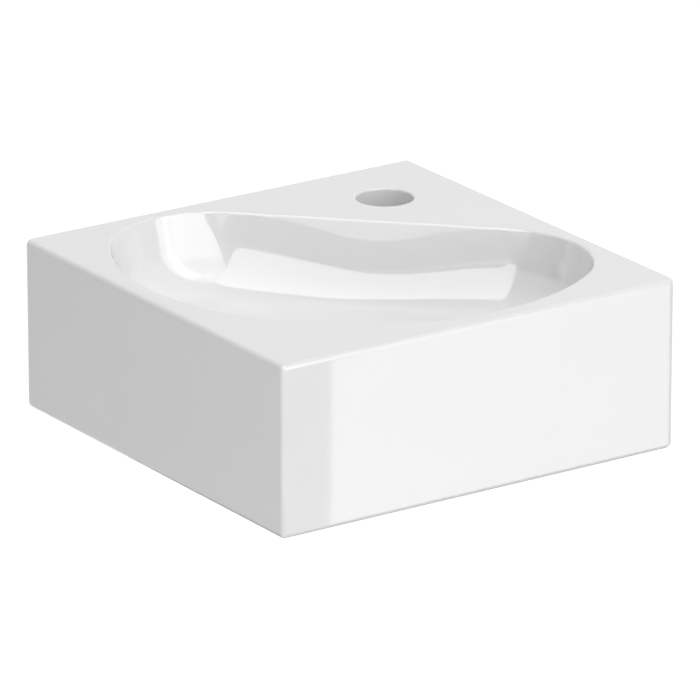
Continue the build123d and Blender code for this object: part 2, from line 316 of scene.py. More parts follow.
def add(tree, kind, inputs=None, **settings):
    """Node of a kind, with its settings, and its inputs set to values or linked to sockets or other nodes."""
    node = tree.nodes.new(kind)
    for setting, value in settings.items():
        setattr(node, setting, value)
    for socket, value in (inputs or {}).items():
        if isinstance(value, bpy.types.Node):
            value = value.outputs[0]
        if isinstance(value, bpy.types.NodeSocket):
            tree.links.new(value, node.inputs[socket])
        else:
            node.inputs[socket].default_value = value
    return node


def calculate(tree, operation, *values):
    """Maths node over numbers, sockets or other nodes."""
    return add(tree, "ShaderNodeMath", dict(enumerate(values)), operation=operation)


def shader_tree(name):
    """Material with an empty node tree."""
    material = bpy.data.materials.new(name)
    material.use_nodes = True
    material.node_tree.nodes.clear()
    return material, material.node_tree


# Materials

def finish(name, colours, clouds, roughness, grain, relief, shader_inputs=None):
    """Material with clouds of tone and gloss, and a fine grain that gives it relief."""
    material, tree = shader_tree(name)
    place = add(tree, "ShaderNodeTexCoord").outputs["Object"]
    light, dark = (linear(code) for code in colours)
    size, detail = clouds
    cloud = add(tree, "ShaderNodeTexNoise", {"Vector": place, "Scale": 1 / size, "Detail": detail})
    # Sockets 0, 6 and 7 of a colour mix are its factor and its two colours
    tint = add(tree, "ShaderNodeMix", {0: cloud, 6: light, 7: dark}, data_type="RGBA")
    if isinstance(roughness, tuple):
        smooth, rough = roughness
        roughness = add(tree, "ShaderNodeMapRange", {"Value": cloud, "To Min": smooth, "To Max": rough})
    size, detail = grain
    marks = add(tree, "ShaderNodeTexNoise", {"Vector": place, "Scale": 1 / size, "Detail": detail})
    strength, depth = relief
    bump = add(tree, "ShaderNodeBump", {"Height": marks, "Strength": strength, "Distance": depth})
    shader = add(tree, "ShaderNodeBsdfPrincipled", {
        "Base Color": tint.outputs[2],
        "Roughness": roughness,
        "Normal": bump,
        **(shader_inputs or {}),
    })
    add(tree, "ShaderNodeOutputMaterial", {"Surface": shader})
    return material


glassy, metallic = {"IOR": 1.55}, {"Metallic": 1.0}
tool_marks = (0.08, 0.05 * MM)
mould_grain = 0.25

# Glazed vitreous china: a glassy coat over a white body, with faint waves where the glaze ran
glaze = finish("vitreous_china_white_glaze", ("#EAEAEA", "#E7E7E7"), (55 * MM, 2.0), (0.02, 0.04),
               (30 * MM, 1.0), (0.03, 0.4 * MM), glassy)
# Unglazed fired clay, ground flat: matt, slightly warm, with a fine grain
biscuit = finish("fired_clay_biscuit", ("#E9E5DC", "#DAD4C8"), (40 * MM, 5.0), 0.85,
                 (0.9 * MM, 2.0), (0.35, 0.2 * MM))
# Plated brass: bright and mirror-like, with faint polishing clouds
chrome = finish("chrome_plated_brass", ("#DDE0E2", "#D2D6D9"), (18 * MM, 3.0), (0.03, 0.07),
                (0.6 * MM, 1.0), tool_marks, metallic)
# Turned brass: warm yellow, satin from the tool
brass = finish("turned_brass", ("#CFAE6A", "#BE9852"), (9 * MM, 3.0), (0.18, 0.30),
               (0.4 * MM, 1.0), tool_marks, metallic)
# Zinc plate: pale blue-grey, with soft cloudy patches
zinc = finish("zinc_plated_steel", ("#C9CED3", "#B3B9BF"), (6 * MM, 3.0), (0.22, 0.38),
              (0.4 * MM, 1.0), tool_marks, metallic)
# Drawn wire: darker grey, satin
wire = finish("drawn_stainless_wire", ("#B5B7BA", "#A2A5A8"), (3 * MM, 3.0), (0.20, 0.30),
              (0.3 * MM, 1.0), tool_marks, metallic)
# Black rubber: matt, with a dusting of pale bloom
rubber = finish("black_epdm_rubber", ("#29292A", "#1C1C1D"), (14 * MM, 3.0), 0.62,
                (0.5 * MM, 2.0), (mould_grain, 0.08 * MM))
# Polyethylene: milky white, waxy
polyethylene = finish("natural_polyethylene", ("#ECECE7", "#E2E3DE"), (12 * MM, 3.0), 0.42,
                      (0.8 * MM, 2.0), (mould_grain, 0.04 * MM))
# Acetal: pale and dense, with a slight sheen
acetal = finish("moulded_acetal", ("#DFE1DF", "#D3D6D4"), (8 * MM, 3.0), 0.34,
                (0.6 * MM, 2.0), (mould_grain, 0.03 * MM))
# Nylon: mid grey, satin
nylon = finish("moulded_grey_nylon", ("#8C9092", "#7C8082"), (10 * MM, 3.0), 0.48,
               (0.6 * MM, 2.0), (mould_grain, 0.06 * MM))

# Finish and body of each node, as the record gives them
finish_of_slot = {
    "glazed_ceramic": glaze,
    "chrome_plate": chrome,
    "black_rubber": rubber,
    "white_plastic": polyethylene,
    "bare_brass": brass,
    "acetal": acetal,
    "spring_steel": wire,
    "zinc_steel": zinc,
    "grey_nylon": nylon,
}
slot_of = {subpart["node"]: subpart["material_slot"] for subpart in frame["record"]["subparts"]}
bodies = frame["record"]["behaviour"]["bodies"]
body_of = {node: body for body, nodes in bodies.items() for node in nodes}

CREASE_ANGLE = radians(40)


def stand_for(node, piece):
    """Smooth a piece, give it its node's finish, and let it stand for that node on the node's body."""
    if not piece.data.materials:
        piece.data.materials.append(finish_of_slot[slot_of[node]])
    piece.data.shade_smooth()
    piece.data.set_sharp_from_angle(angle=CREASE_ANGLE)
    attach(piece, body_of[node])
    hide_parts(node)


# Node groups for threads and coils

THREAD_SIZES = ("Crest Radius", "Depth", "Pitch", "Sharpness", "Low", "High")
COIL_SIZES = ("Coil Radius", "Wire Radius", "Length", "Turns")
# Points beyond this share of the crest radius are on the outer skin of a blank
SKIN_SHARE = 0.98


def begin_group(name, shapes, sizes, result):
    """Empty node group with named shapes, sizes and a finish going in, and one shape coming out."""
    tree = bpy.data.node_groups.new(name, "GeometryNodeTree")
    kinds = {**dict.fromkeys(shapes, "Geometry"), **dict.fromkeys(sizes, "Float"), "Finish": "Material"}
    for socket, kind in kinds.items():
        tree.interface.new_socket(socket, in_out="INPUT", socket_type="NodeSocket" + kind)
    tree.interface.new_socket(result, in_out="OUTPUT", socket_type="NodeSocketGeometry")
    return tree, add(tree, "NodeGroupInput").outputs


def end_group(tree, shape, material, result):
    """Make the shape of a node group real, give it its finish and let it out."""
    real = add(tree, "GeometryNodeRealizeInstances", {"Geometry": shape})
    finished = add(tree, "GeometryNodeSetMaterial", {"Geometry": real, "Material": material})
    add(tree, "NodeGroupOutput", {result: finished})
    return tree


def thread_tree():
    """Node group that cuts a right-hand screw thread into the outside of a blank turned on the z axis."""
    tree, given = begin_group("screw_thread", ["Blank"], [*THREAD_SIZES, "Runout"], "Threaded")
    place = add(tree, "GeometryNodeInputPosition")
    axes = add(tree, "ShaderNodeSeparateXYZ", {0: place}).outputs
    # Height of the thread's wave at each point: it climbs one pitch in a turn
    bearing = calculate(tree, "ARCTAN2", axes["Y"], axes["X"])
    turns = calculate(tree, "DIVIDE", axes["Z"], given["Pitch"])
    phase = calculate(tree, "MULTIPLY_ADD", turns, -2 * pi, bearing)
    wave = calculate(tree, "COSINE", phase)
    ridge = add(tree, "ShaderNodeMapRange", {"Value": wave, "From Min": -1.0})
    sharp = calculate(tree, "POWER", ridge, given["Sharpness"])
    groove = add(tree, "ShaderNodeMapRange", {"Value": sharp, "To Min": given["Depth"], "To Max": 0.0})
    # The thread fades out at both ends
    low_end = calculate(tree, "ADD", given["Low"], given["Runout"])
    high_end = calculate(tree, "SUBTRACT", given["High"], given["Runout"])
    ends = ((given["Low"], low_end), (given["High"], high_end))
    rise, fall = (add(tree, "ShaderNodeMapRange", {
        "Value": axes["Z"], "From Min": start, "From Max": end,
    }, interpolation_type="SMOOTHSTEP") for start, end in ends)
    fade = calculate(tree, "MULTIPLY", rise, fall)
    cut = calculate(tree, "MULTIPLY", groove, fade)
    # Only the outer skin of the blank moves, straight towards the axis
    to_axis = add(tree, "ShaderNodeVectorMath", {0: place, 1: (-1.0, -1.0, 0.0)}, operation="MULTIPLY")
    inward = add(tree, "ShaderNodeVectorMath", {0: to_axis}, operation="NORMALIZE")
    radius = add(tree, "ShaderNodeVectorMath", {0: to_axis}, operation="LENGTH")
    skin = calculate(tree, "MULTIPLY", given["Crest Radius"], SKIN_SHARE)
    on_skin = calculate(tree, "GREATER_THAN", radius.outputs["Value"], skin)
    offset = add(tree, "ShaderNodeVectorMath", {0: inward, "Scale": cut}, operation="SCALE")
    moved = add(tree, "GeometryNodeSetPosition", {
        "Geometry": given["Blank"], "Selection": on_skin, "Offset": offset,
    })
    return end_group(tree, moved, given["Finish"], "Threaded")


def coil_tree():
    """Node group that winds round wire into a coil on the z axis, upwards from the origin."""
    tree, given = begin_group("wire_coil", [], COIL_SIZES, "Coil")
    path = add(tree, "GeometryNodeCurveSpiral", {
        "Resolution": 36,
        "Rotations": given["Turns"],
        "Start Radius": given["Coil Radius"],
        "End Radius": given["Coil Radius"],
        "Height": given["Length"],
    })
    upright = add(tree, "GeometryNodeSetCurveNormal", {"Curve": path}, mode="Z_UP")
    section = add(tree, "GeometryNodeCurvePrimitiveCircle", {
        "Resolution": 14,
        "Radius": given["Wire Radius"],
    })
    wound = add(tree, "GeometryNodeCurveToMesh", {
        "Curve": upright,
        "Profile Curve": section,
        "Fill Caps": True,
    })
    return end_group(tree, wound, given["Finish"], "Coil")


screw_thread = thread_tree()
wire_coil = coil_tree()

# Crests of a thread get narrower as this grows
PIPE_SHARPNESS = 0.8
MACHINE_SHARPNESS = 0.9
SCREW_SHARPNESS = 3.0


def grown(base, steps, places):
    """Object that node groups make from a base and their named sizes, copied to every place."""
    for tree, sizes in steps:
        modifier = base.modifiers.new(tree.name, "NODES")
        modifier.node_group = tree
        for socket in tree.interface.items_tree:
            if socket.in_out == "INPUT" and socket.name in sizes:
                modifier[socket.identifier] = sizes[socket.name]
    made = evaluated(base)
    shape = bmesh.new()
    for place in places:
        made.transform(place)
        shape.from_mesh(made)
        made.transform(place.inverted())
    bmesh.ops.recalc_face_normals(shape, faces=shape.faces)
    mesh = bpy.data.meshes.new(base.name)
    for material in made.materials:
        mesh.materials.append(material)
    shape.to_mesh(mesh)
    shape.free()
    base.modifiers.clear()
    base.data = mesh
    bpy.data.meshes.remove(made)
    return base


def threaded(base, cuts, material, places):
    """Object with screw threads cut into its outside, each with its sizes."""
    steps = []
    for cut in cuts:
        sizes = dict(zip(THREAD_SIZES, cut))
        steps.append((screw_thread, {**sizes, "Runout": sizes["Pitch"], "Finish": material}))
    return grown(base, steps, places)


# Ceramic body

half_diagonal = side / sqrt(2)
bowl_centre = sqrt(2) * (bowl_radius + rim_margin - side / 2)
ledge_edge = half_diagonal - ledge_depth
corner_v = ledge_edge - bowl_corner
corner_u = sqrt((bowl_radius - bowl_corner) ** 2 - (bowl_centre - corner_v) ** 2)
corner_turn = asin((bowl_centre - corner_v) / (bowl_radius - bowl_corner))
ledge_steps, corner_steps, front_steps, lip_steps = 48, 40, 150, 8


def bowl_outline():
    """Points once round the rim of the bowl, in the basin's plan, and the outward direction at each."""
    def arc(centre_u, centre_v, radius, start, end, steps):
        angles = np.linspace(start, end, steps, endpoint=False)
        outward = np.column_stack([np.cos(angles), np.sin(angles)])
        return np.array([centre_u, centre_v]) + radius * outward, outward

    along = np.linspace(corner_u, -corner_u, ledge_steps, endpoint=False)
    straight = np.column_stack([along, np.full(ledge_steps, ledge_edge)])
    ledge = straight, np.tile([0.0, 1.0], (ledge_steps, 1))
    left = arc(-corner_u, corner_v, bowl_corner, pi / 2, pi + corner_turn, corner_steps)
    front = arc(0, bowl_centre, bowl_radius, pi + corner_turn, 2 * pi - corner_turn, front_steps)
    right = arc(corner_u, corner_v, bowl_corner, -corner_turn, pi / 2, corner_steps)
    stretches = [ledge, left, front, right]
    plan = np.vstack([points for points, outward in stretches])
    outwards = np.vstack([outward for points, outward in stretches])
    turn = np.array([[1, 1], [-1, 1]]) / sqrt(2)
    return plan @ turn + np.array([middle.x, middle.y]), outwards @ turn


def eased(share):
    """Share from 0 to 1 that starts and ends gently."""
    share = np.clip(share, 0, 1)
    return share ** 2 * (3 - 2 * share)


outline, outward = bowl_outline()
along_ledge = np.abs(outline.sum(1)) / sqrt(2)
turn_from_ledge = np.arccos(np.clip(outward @ np.array([-1, 1]) / sqrt(2), -1, 1))

# The wall leans most round the front, and least at the two ends of the ledge
ledge_tilt = ledge_end_tilt + (ledge_wall_tilt - ledge_end_tilt) * eased(1 - along_ledge / corner_u)
wall_tilt = ledge_tilt + (front_wall_tilt - ledge_tilt) * eased(turn_from_ledge / tilt_change_turn)

# The foot of the wall is rounder towards the ends of the ledge, and plain again round the front
foot_change = (plain_foot_turn - turn_from_ledge) / (plain_foot_turn - end_foot_turn)
end_share = eased(along_ledge / corner_u) * eased(foot_change)
foot_radius = foot_round + (end_foot_round - foot_round) * end_share

drain_plan = np.array([drain.x, drain.y])
dish_centre = -bowl_depth + dish_radius
FOOT_ROUNDS = 8


def ring_at(plan, level):
    """Ring of points over a plan, at one height or one for each point."""
    return np.column_stack([plan, np.broadcast_to(level, len(plan))])


def round_foot(offset, tilt, radius, sphere):
    """Centre of the ball that rounds a wall into the dish: its offset, height and lean at each rim point."""
    height = np.full(len(outline), -bowl_depth + radius)
    for _ in range(FOOT_ROUNDS):
        reach = (offset + height * np.sin(tilt) - radius) / np.cos(tilt)
        away = outline + reach[:, None] * outward - drain_plan
        height = dish_centre - np.sqrt((sphere - radius) ** 2 - (away ** 2).sum(1))
    lean = np.arcsin((away * outward).sum(1) / (sphere - radius))
    return reach, height, lean


def foot_rings(offset, tilt, radius, sphere, wall_top, wall_steps, foot_steps):
    """Rings down a wall from a height, round its foot and onto the dish."""
    reach, height, lean = round_foot(offset, tilt, radius, sphere)
    rings = []
    wall_foot = height - radius * np.sin(tilt)
    for step in range(wall_steps):
        level = wall_top + (wall_foot - wall_top) * step / wall_steps
        wall_reach = (offset + level * np.sin(tilt)) / np.cos(tilt)
        rings.append(ring_at(outline + wall_reach[:, None] * outward, level))
    for step in range(foot_steps + 1):
        angle = -tilt + (lean - pi / 2 + tilt) * step / foot_steps
        plan = outline + (reach + radius * np.cos(angle))[:, None] * outward
        rings.append(ring_at(plan, height + radius * np.sin(angle)))
    return rings


def dish_rings(edge, radius, sphere, steps):
    """Rings over the dish, from its edge in to a circle round the waste."""
    away = edge[:, :2] - drain_plan
    distance = np.sqrt((away ** 2).sum(1))
    rings = []
    for step in range(1, steps + 1):
        reach = distance + (radius - distance) * step / steps
        plan = drain_plan + away * (reach / distance)[:, None]
        rings.append(ring_at(plan, dish_centre - np.sqrt(sphere ** 2 - reach ** 2)))
    return rings


def circle_like(ring, radius, height):
    """Circle round the waste, with its points in the directions of a ring's points."""
    away = ring[:, :2] - drain_plan
    return ring_at(drain_plan + away * (radius / np.sqrt((away ** 2).sum(1)))[:, None], height)


# Cutters reach this far past what they cut
clear = 10.0 * MM


def bowl_hollow():
    """Everything that is cut out from above: lip, wall, foot, dish, recess and waste hole."""
    lip_reach = lip_round * (1 - np.sin(wall_tilt)) / np.cos(wall_tilt)
    rings = [ring_at(outline + lip_reach[:, None] * outward, clear)]
    for angle in np.linspace(pi / 2, pi - wall_tilt, lip_steps, endpoint=False):
        reach = lip_reach + lip_round * np.cos(angle)
        rings.append(ring_at(outline + reach[:, None] * outward, lip_round * (np.sin(angle) - 1)))
    wall_top = lip_round * (np.sin(wall_tilt) - 1)
    rings += foot_rings(0.0, wall_tilt, foot_radius, dish_radius, wall_top, wall_steps=6, foot_steps=14)
    rings += dish_rings(rings[-1], recess_radius, dish_radius, steps=16)
    rings.append(circle_like(rings[-1], recess_radius, seat_height))
    rings.append(circle_like(rings[-1], drain_hole_radius, seat_height))
    rings.append(circle_like(rings[-1], drain_hole_radius, boss_underside - clear))
    return mesh_object("bowl_hollow", loft(rings, caps=True), at_origin)


def bowl_shell():
    """Outside of the bowl below the deck."""
    sphere = dish_radius + floor_thickness
    wall_top = -deck_thickness / 2
    rings = foot_rings(bowl_wall, 0.0, underside_round, sphere, wall_top, wall_steps=4, foot_steps=10)
    rings += dish_rings(rings[-1], drain_hole_radius, sphere, steps=10)
    return mesh_object("bowl_shell", loft(rings, caps=True), at_origin)


def rounded_square(half, corner, height, steps=10):
    """Ring round a square with rounded corners, centred on the basin."""
    ring = []
    for turn in (0, pi / 2, pi, 3 * pi / 2):
        centre_x = middle.x + (half - corner) * cos(turn + pi / 4) * sqrt(2)
        centre_y = middle.y + (half - corner) * sin(turn + pi / 4) * sqrt(2)
        for angle in np.linspace(0, pi / 2, steps + 1) + turn:
            ring.append((centre_x + corner * cos(angle), centre_y + corner * sin(angle), height))
    return ring


def skirt_space():
    """Space inside the skirt, open below, with the lower edge of the skirt eased."""
    half = side / 2 - skirt_thickness
    rings = [rounded_square(half, skirt_corner, rim_height - deck_thickness)]
    for angle in np.linspace(0, pi / 2, 5):
        grow = skirt_lip_round * (1 - cos(angle))
        level = base_height + skirt_lip_round * (1 - sin(angle))
        rings.append(rounded_square(half + grow, skirt_corner + grow, level))
    rings.append(rounded_square(half + skirt_lip_round, skirt_corner + skirt_lip_round, base_height - clear))
    return mesh_object("skirt_space", loft(rings, caps=True), at_origin)


def ends_at_wall(edge):
    """True for the two upright edges where a free face of the body ends at a wall."""
    first, second = (vertex.co for vertex in edge.verts)
    return first.x * first.y > 0 and (first.xy - second.xy).length < clear


def outer_block():
    """Square block with every edge rounded, most of all where its free faces end at the walls."""
    size = (side, side, rim_height - base_height)
    skin = block(size, middle, edge_round, wall_end_round, ends_at_wall)
    return mesh_object("outer_block", skin, at_origin)


def tap_hole_cutter():
    """Round hole through the deck, with its upper edge eased."""
    flare = tap_hole_radius + tap_hole_round
    profile = [(0, -deck_thickness - clear), (tap_hole_radius, -deck_thickness - clear)]
    for angle in np.linspace(0, pi / 2, 6):
        profile.append((flare - tap_hole_round * cos(angle), tap_hole_round * (sin(angle) - 1)))
    profile += [(flare, clear), (0, clear)]
    return turned("tap_hole", profile, on_tap_hole, edge=0.0)


def plain_cylinder(name, radius, low, high, places):
    """Closed cylinder along the z axis of each place."""
    profile = [(0, low), (radius, low), (radius, high), (0, high)]
    return turned(name, profile, places, edge=0.0)


def basin():
    """Ceramic body, with bare clay on the wall faces and the lower rim."""
    drain_boss = plain_cylinder("drain_boss", boss_radius, boss_underside, seat_height, on_drain)
    inside = -skirt_thickness - clear
    fixing_holes = plain_cylinder("fixing_holes", fixing_hole_radius, inside, clear, on_walls)
    piece = combined("basin_ceramic", outer_block(), [
        ("DIFFERENCE", skirt_space()),
        ("UNION", bowl_shell()),
        ("UNION", drain_boss),
        ("DIFFERENCE", bowl_hollow()),
        ("DIFFERENCE", tap_hole_cutter()),
        ("DIFFERENCE", fixing_holes),
    ])
    mesh = piece.data
    mesh.materials.clear()
    mesh.materials.append(glaze)
    mesh.materials.append(biscuit)
    close = 0.02 * MM
    for face in mesh.polygons:
        on_rear_wall = face.center.y > body_high.y - close
        on_side_wall = face.center.x < body_low.x + close
        on_base = face.center.z < base_height + close
        face.material_index = 1 if on_rear_wall or on_side_wall or on_base else 0
    mesh.shade_smooth()
    mesh.set_sharp_from_angle(angle=CREASE_ANGLE)
    weights = piece.modifiers.new("flat_faces_stay_flat", "WEIGHTED_NORMAL")
    weights.keep_sharp = True
    piece.data = evaluated(piece)
    piece.modifiers.clear()
    bpy.data.meshes.remove(mesh)
    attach(piece, "root")
    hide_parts("basin_body")


basin()


# Waste

flange_radius = (waste_high.x - waste_low.x) / 2
cone_top_radius = 24.5 * MM
cone_depth = 6.5 * MM
tail_radius = 20.95 * MM
tail_bore = 17.5 * MM
tail_end_chamfer = 1.0 * MM
tail_plain_length = 4.0 * MM
tail_pitch = 2.309 * MM
tail_thread_depth = 1.1 * MM
washer_bore = 21.15 * MM
washer_radius = 30.0 * MM
spigot_radius = 22.8 * MM
back_nut_across_flats = 55.0 * MM
hub_radius = 11.0 * MM
hub_height = 10.0 * MM
hub_play = 0.05 * MM
arm_width = 4.0 * MM
arm_count = 3
barrel_radius = 6.5 * MM
barrel_flange_thickness = 3.0 * MM
barrel_end, barrel_top = heights("latch_barrel")
hub_top = barrel_top - barrel_flange_thickness
ROWS_PER_PITCH = 12


def spider_arms():
    """Arms between the hub of the latch and the wall of the tail, with eased edges."""
    inner = (barrel_radius + hub_radius) / 2
    outer = (tail_bore + tail_radius - tail_thread_depth) / 2
    size = (outer - inner, arm_width, hub_height)
    arm = block(size, Vector(((outer + inner) / 2, 0, hub_top - hub_height / 2)), ease=0.7 * MM)
    turns = [Matrix.Rotation(2 * pi * i / arm_count, 4, "Z") for i in range(arm_count)]
    return mesh_object("spider_arms", arm, turns)


def waste():
    """Chromed waste: flange, cone seat and threaded tail, with the spider that carries the latch."""
    shoulder = flange_underside - tail_plain_length
    thread_low = tail_end + tail_end_chamfer
    profile = [
        (flange_radius, flange_underside),
        (flange_radius, flange_top),
        (cone_top_radius, flange_top),
        (tail_bore, flange_top - cone_depth),
        (tail_bore, tail_end),
        (tail_radius - tail_end_chamfer, tail_end),
        *rows(tail_radius, thread_low, shoulder, tail_pitch / ROWS_PER_PITCH),
        (tail_radius, flange_underside),
    ]
    body = turned("waste", profile, at_origin, edge=0.8 * MM)
    hub_bore = barrel_radius + hub_play
    hub = flat_ring("hub", hub_bore, hub_radius, hub_top - hub_height, hub_top, at_origin, edge=0.6 * MM)
    blank = combined("waste_with_spider", body, [("UNION", hub), ("UNION", spider_arms())])
    cut = (tail_radius, tail_thread_depth, tail_pitch, PIPE_SHARPNESS, thread_low - tail_pitch, shoulder)
    return threaded(blank, [cut], chrome, on_drain)


stand_for("waste_body", waste())
stand_for("flange_seal", flat_ring(
    "rubber_flange_washer", drain_hole_radius, flange_radius, seat_height, flange_underside,
    on_drain, edge=0.5 * MM))
# The spigot of the gasket centres the tail in the hole
stand_for("lower_gasket", stepped_ring(
    "rubber_gasket", washer_bore, (washer_radius, spigot_radius),
    (gasket_underside, boss_underside, gasket_top), on_drain, edge=0.9 * MM))
stand_for("slip_washer", flat_ring(
    "plastic_slip_washer", washer_bore, washer_radius, *heights("slip_washer"), on_drain, edge=0.4 * MM))
stand_for("back_nut", hexagon_nut(
    "brass_back_nut", back_nut_across_flats, *heights("back_nut"), tail_radius, on_drain))


# Plug

cap_radius = 20.0 * MM
cap_edge = 2.6 * MM
cap_crown = 1.6 * MM
cap_boss_radius = 6.0 * MM
cap_bore = 3.05 * MM
stem_radius = 3.0 * MM
stem_pitch = 1.0 * MM
stem_thread_depth = 0.5 * MM
stem_thread_below_nut = 3.0 * MM
collar_radius = 4.9 * MM
collar_thickness = 3.5 * MM
ring_spigot_radius = 2.0 * MM
ring_spigot_length = 7.2 * MM
locknut_across_flats = 10.0 * MM
seal_section = 1.5 * MM
seal_groove_play = 0.1 * MM
seal_bite = 0.92 * MM
cap_boss_end, cap_top = heights("plug_cap")
cap_edge_top = cap_top - cap_crown
cap_underside = cap_edge_top - cap_edge
stem_end, stem_top = heights("plug_stem")
locknut_end, locknut_top = heights("stem_locknut")
seal_low, seal_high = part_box("plug_seal")
seal_radius = (seal_high.x - seal_low.x) / 2 - seal_section


def cap():
    """Domed cap, grooved below for its seal, with a boss for the stem."""
    dome = (cap_radius ** 2 + cap_crown ** 2) / (2 * cap_crown)
    radii = np.linspace(0, cap_radius, 17)
    crown = [(radius, cap_top - dome + sqrt(dome ** 2 - radius ** 2)) for radius in radii]
    groove_inner = seal_radius - seal_section - seal_groove_play
    groove_outer = seal_radius + seal_section + seal_groove_play
    groove_top = cap_underside + seal_bite + seal_groove_play
    profile = [
        *crown,
        (cap_radius, cap_underside),
        (groove_outer, cap_underside),
        (groove_outer, groove_top),
        (groove_inner, groove_top),
        (groove_inner, cap_underside),
        (cap_boss_radius, cap_underside),
        (cap_boss_radius, cap_boss_end),
        (cap_bore, cap_boss_end),
        (cap_bore, stem_top),
        (0, stem_top),
    ]
    return turned("push_open_cap", profile, on_drain, around=128, edge=0.8 * MM)


def seal_ring():
    """Round rubber ring in the groove of the cap."""
    centre = (seal_low.z + seal_high.z) / 2
    angles = np.linspace(0, 2 * pi, 24, endpoint=False)
    profile = [(seal_radius + seal_section * cos(a), centre + seal_section * sin(a)) for a in angles]
    return turned("rubber_plug_seal", profile, on_drain, edge=0.0)


def stem():
    """Stem threaded into the cap, with its stop collar and the spigot for the ring."""
    collar_end = stem_end + ring_spigot_length
    collar_top = collar_end + collar_thickness
    thread_end = locknut_end - stem_thread_below_nut
    profile = [
        (0, stem_top),
        *rows(stem_radius, stem_top, thread_end, stem_pitch / ROWS_PER_PITCH),
        (stem_radius, collar_top),
        (collar_radius, collar_top),
        (collar_radius, collar_end),
        (ring_spigot_radius, collar_end),
        (ring_spigot_radius, stem_end),
        (0, stem_end),
    ]
    blank = turned("brass_stem", profile, at_origin, around=48)
    cut = (stem_radius, stem_thread_depth, stem_pitch, MACHINE_SHARPNESS, thread_end, stem_top + stem_pitch)
    return threaded(blank, [cut], brass, on_drain)


stand_for("plug_cap", cap())
stand_for("plug_seal", seal_ring())
stand_for("plug_stem", stem())
stand_for("stem_locknut", hexagon_nut(
    "brass_locknut", locknut_across_flats, locknut_end, locknut_top, cap_bore, on_drain))


# Latch

barrel_flange_radius = 9.0 * MM
barrel_throat = 3.05 * MM
barrel_pitch = 1.5 * MM
barrel_thread_depth = 0.5 * MM
barrel_thread_below_hub = 6.0 * MM
chamber_radius = 5.2 * MM
end_plug_head, end_plug_top = heights("barrel_end_plug")
end_plug_vent = 1.2 * MM
end_plug_grip_radius = 5.15 * MM
index_ring_radius = 3.6 * MM
index_rib_radius = 4.7 * MM
index_rib_width = 1.0 * MM
index_rib_count = 8
index_ring_bore = 2.05 * MM
spring_coil_radius = 3.6 * MM
spring_wire_radius = 0.4 * MM
spring_turns = 8.0


def barrel():
    """Barrel of the latch, threaded outside where the spider holds it."""
    thread_end = hub_top - hub_height - barrel_thread_below_hub
    profile = [
        (barrel_throat, barrel_top),
        (barrel_throat, hub_top),
        (chamber_radius, hub_top),
        (chamber_radius, barrel_end),
        (barrel_radius, barrel_end),
        *rows(barrel_radius, thread_end, hub_top, barrel_pitch / ROWS_PER_PITCH),
        (barrel_flange_radius, hub_top),
        (barrel_flange_radius, barrel_top),
    ]
    blank = turned("latch_barrel_moulding", profile, at_origin, around=64)
    cut = (barrel_radius, barrel_thread_depth, barrel_pitch, MACHINE_SHARPNESS, thread_end, hub_top)
    return threaded(blank, [cut], acetal, on_drain)


def ribbed_ring():
    """Index ring: a plain ring with straight ribs on its outside."""
    low, high = heights("index_ring")
    foot = asin(index_rib_width / 2 / index_ring_radius)
    tip = asin(index_rib_width / 2 / index_rib_radius)
    step = 2 * pi / index_rib_count
    edge = []
    for rib in range(index_rib_count):
        bearing = rib * step
        edge += [
            (index_ring_radius, bearing - foot),
            (index_rib_radius, bearing - tip),
            (index_rib_radius, bearing),
            (index_rib_radius, bearing + tip),
        ]
        gap = np.linspace(bearing + foot, bearing + step - foot, 6)[:-1]
        edge += [(index_ring_radius, angle) for angle in gap]

    radii, angles = np.array(edge).T
    bore = np.full(len(edge), index_ring_bore)
    ease = 0.2 * MM
    outside = [(radii - ease, low), (radii, low + ease), (radii, high - ease), (radii - ease, high)]
    rings = [polar_ring(spread, angles, height) for spread, height in outside + [(bore, high), (bore, low)]]
    return mesh_object("latch_index_ring", loft(rings, loop=True), on_drain)


def spring():
    """Compression spring between the index ring and the end plug."""
    low, high = heights("latch_spring")
    base = linked("latch_coil_spring", bpy.data.meshes.new("latch_coil_spring"))
    length = high - low - 2 * spring_wire_radius
    sizes = dict(zip(COIL_SIZES, (spring_coil_radius, spring_wire_radius, length, spring_turns)))
    foot = place_on(drain + Vector((0, 0, low + spring_wire_radius)), Z_AXIS)
    piece = grown(base, [(wire_coil, {**sizes, "Finish": wire})], [foot])
    stand_for("latch_spring", piece)
    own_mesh(piece)


stand_for("latch_barrel", barrel())
# The plug is pressed into the end of the barrel and has a vent through it
stand_for("barrel_end_plug", stepped_ring(
    "barrel_plug_moulding", end_plug_vent, (barrel_radius, end_plug_grip_radius),
    (end_plug_head, barrel_end, end_plug_top), on_drain, edge=0.5 * MM, around=64))
stand_for("index_ring", ribbed_ring())
spring()


# Wall fixings, along an axis that points into the wall, with the wall face at zero

bolt_radius = 4.0 * MM
bolt_inner_end = -28.0 * MM
bolt_end_chamfer = 0.7 * MM
bolt_pitch = 1.25 * MM
bolt_thread_depth = 0.65 * MM
bolt_shoulder = 1.0 * MM
screw_radius = 3.2 * MM
screw_pitch = 3.2 * MM
screw_thread_depth = 0.75 * MM
screw_point_start = 53.0 * MM
screw_point = 58.0 * MM
wall_plug_radius = 5.0 * MM
wall_plug_bore = 3.25 * MM
wall_plug_mouth = 1.0 * MM
wall_plug_end = 63.0 * MM
wall_plug_taper = 1.0 * MM
wall_plug_slot = 1.2 * MM
slot_start = 36.0 * MM
slot_end = 56.0 * MM
barb_start = 8.0 * MM
barb_spacing = 3.4 * MM
barb_depth = 0.55 * MM
barb_step = 0.3 * MM
barb_count = 8
bush_bore = 4.2 * MM
bush_flange_radius = 13.0 * MM
bush_flange_inner = -13.0 * MM
bush_shank_radius = 6.8 * MM
bush_shank_end = -2.0 * MM
steel_washer_radius = 11.0 * MM
steel_washer_inner = -14.6 * MM
